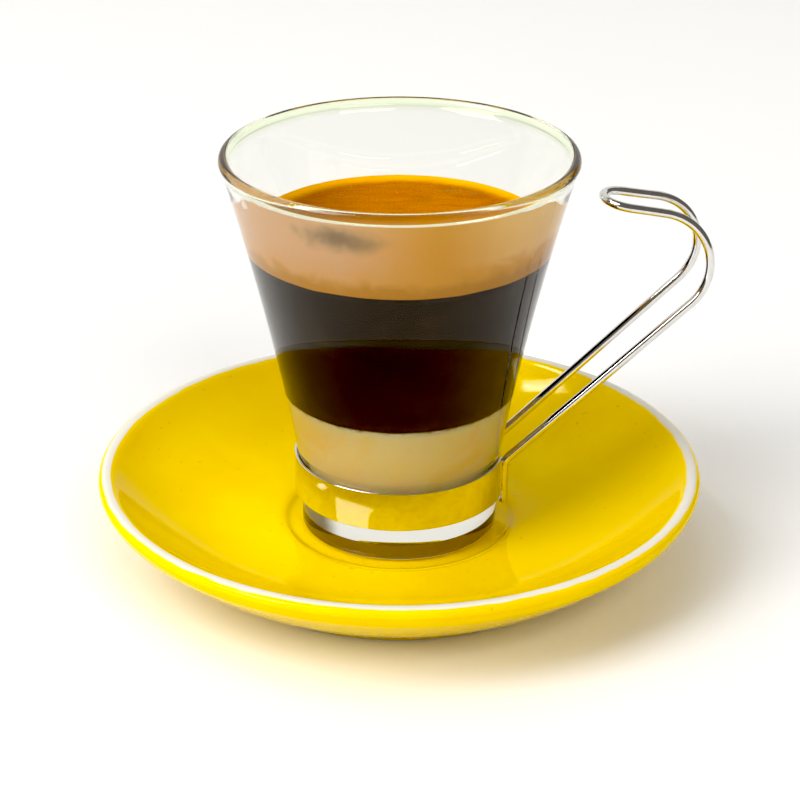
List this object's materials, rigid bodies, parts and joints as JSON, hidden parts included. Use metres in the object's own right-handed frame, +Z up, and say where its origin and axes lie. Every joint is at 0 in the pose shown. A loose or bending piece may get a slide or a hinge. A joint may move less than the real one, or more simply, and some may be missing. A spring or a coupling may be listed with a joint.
{
  "type": "glass of cafe bombon",
  "caption": "Conical espresso glass in a steel band with a wire handle, on a yellow saucer, filled with condensed milk, black coffee and crema in layers.",
  "frame": {"origin": "on the glass's axis, at the level of the table under the saucer", "axes": "+Z up along the glass's axis, +X towards the wire handle, +Y away from a viewer who has the handle on the right"},
  "size_m": [0.1226, 0.1222, 0.0855],
  "materials": {
    "saucer_glaze": "glossy yellow glaze with a white glazed lip",
    "clear_glass": "clear polished glass",
    "steel": "bright polished stainless steel",
    "condensed_milk": null,
    "coffee": null,
    "crema": null
  },
  "bodies": {
    "root": {"saucer": "saucer_glaze", "glass": "clear_glass", "band": "steel", "handle_wire": "steel", "condensed_milk": "condensed_milk", "coffee": "coffee", "crema": "crema"}
  },
  "joints": []
}
